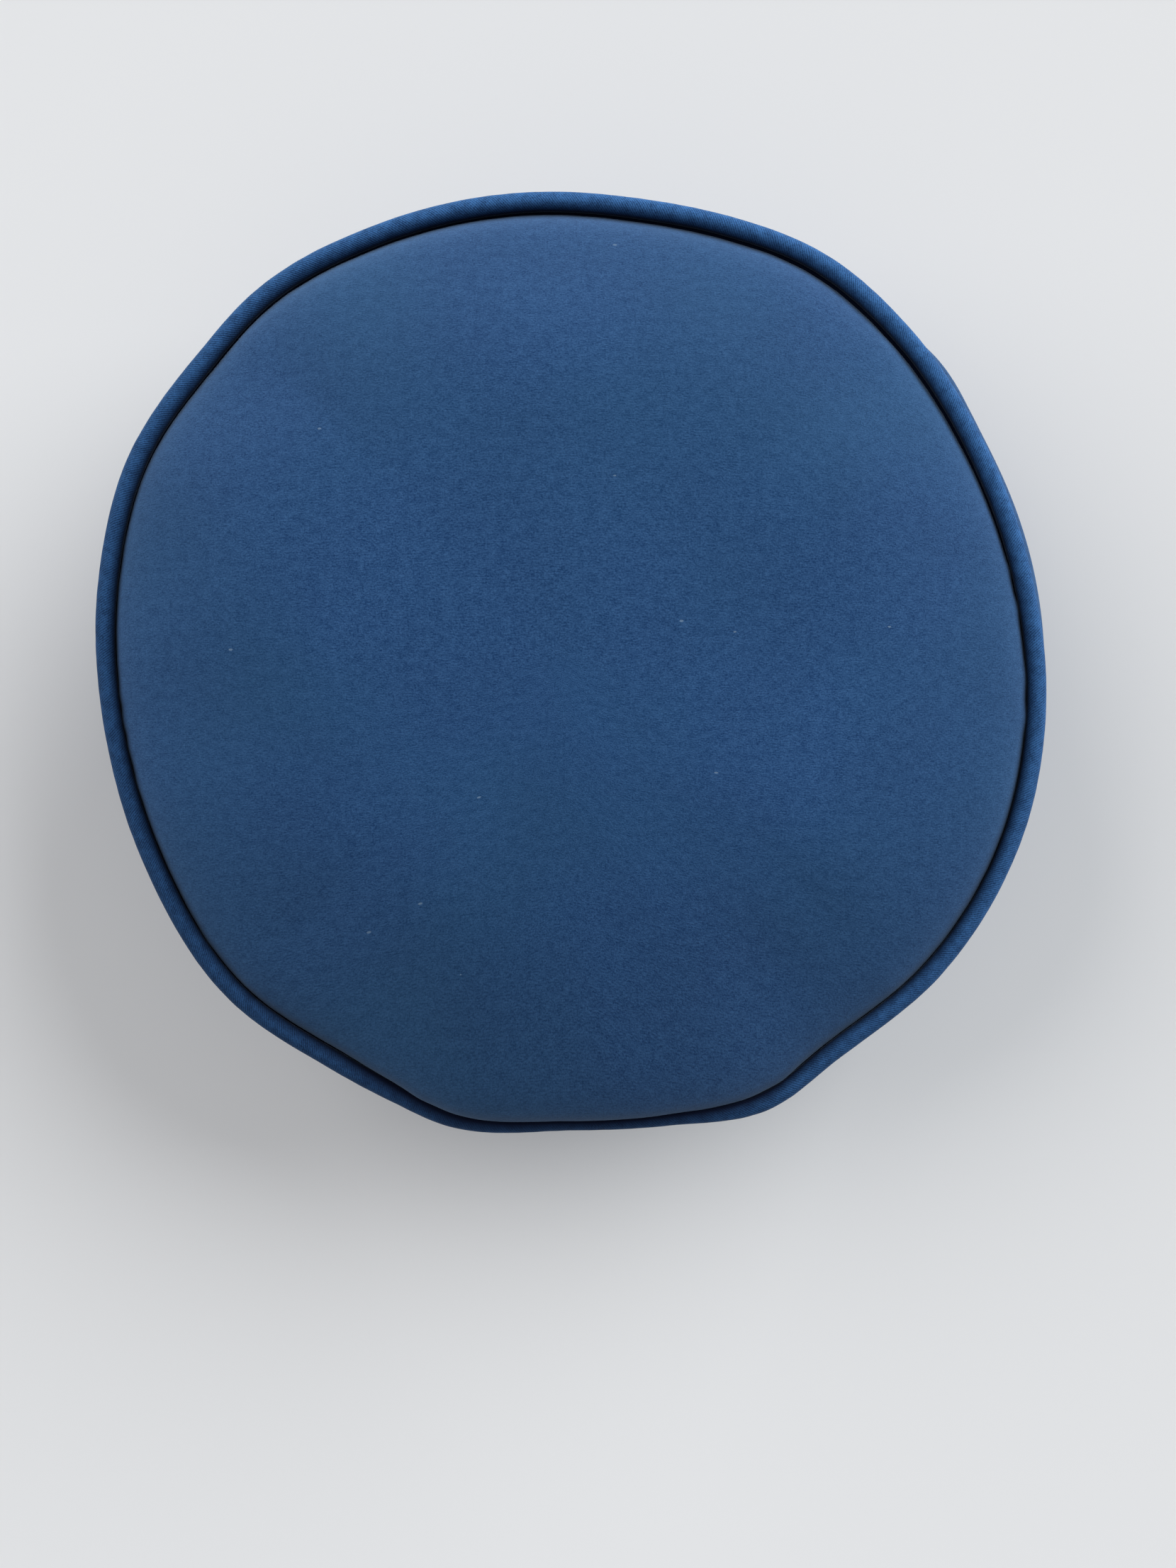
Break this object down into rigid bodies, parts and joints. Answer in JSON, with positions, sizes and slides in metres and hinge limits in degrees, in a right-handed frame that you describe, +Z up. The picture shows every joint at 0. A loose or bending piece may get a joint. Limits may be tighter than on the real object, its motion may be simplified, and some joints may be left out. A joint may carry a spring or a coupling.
{
  "type": "floor cushion",
  "caption": "Round box-edged floor cushion in velvet with piped edges, a zip along its side band and a removable fibre-filled insert.",
  "frame": {"origin": "on the floor under the middle of the cushion, which lies flat on its back panel", "axes": "+Z up, through the middle of both round panels and out of the crowned front; -Y towards the middle of the zip; +X towards the end of the zip where the slider rests"},
  "size_m": [0.4498, 0.4498, 0.13],
  "materials": {
    "velvet": "short-pile matt velvet, steel blue",
    "piping_velvet": "the same velvet cut on the bias",
    "cotton_cord": "twisted unbleached cotton",
    "zip_tape": "woven polyester tape, navy",
    "zip_coil": "nylon coil, navy",
    "zip_metal": "satin nickel-plated zinc",
    "cotton_casing": "plain-woven cotton cambric",
    "polyester_fibre": "loose hollow polyester fibre"
  },
  "bodies": {
    "cushion": {"front_panel": "velvet", "back_panel": "velvet", "side_band": "velvet", "zip_strip_upper": "velvet", "zip_strip_lower": "velvet", "front_piping_cover": "piping_velvet", "back_piping_cover": "piping_velvet", "front_piping_cord": "cotton_cord", "back_piping_cord": "cotton_cord", "zip_tape_upper": "zip_tape", "zip_tape_lower": "zip_tape", "zip_coil_upper": "zip_coil", "zip_coil_lower": "zip_coil", "zip_top_stop_upper": "zip_metal", "zip_top_stop_lower": "zip_metal", "zip_bottom_stop": "zip_metal", "insert_casing_front": "cotton_casing", "insert_casing_band": "cotton_casing", "insert_casing_back": "cotton_casing", "insert_filling": "polyester_fibre"},
    "slider": {"zip_slider": "zip_metal"},
    "pull": {"zip_pull": "zip_metal"}
  },
  "joints": [
    {"name": "zip_run", "type": "hinge", "parent": "cushion", "child": "slider", "pos_m": [0, 0, 0.056], "axis": [0, 0, 1], "range_deg": [-125.3, 0]},
    {"name": "pull_flip", "type": "hinge", "parent": "slider", "child": "pull", "pos_m": [0.20124, -0.10408, 0.056], "axis": [-0.4594, -0.8882, 0], "range_deg": [-4, 184]}
  ]
}
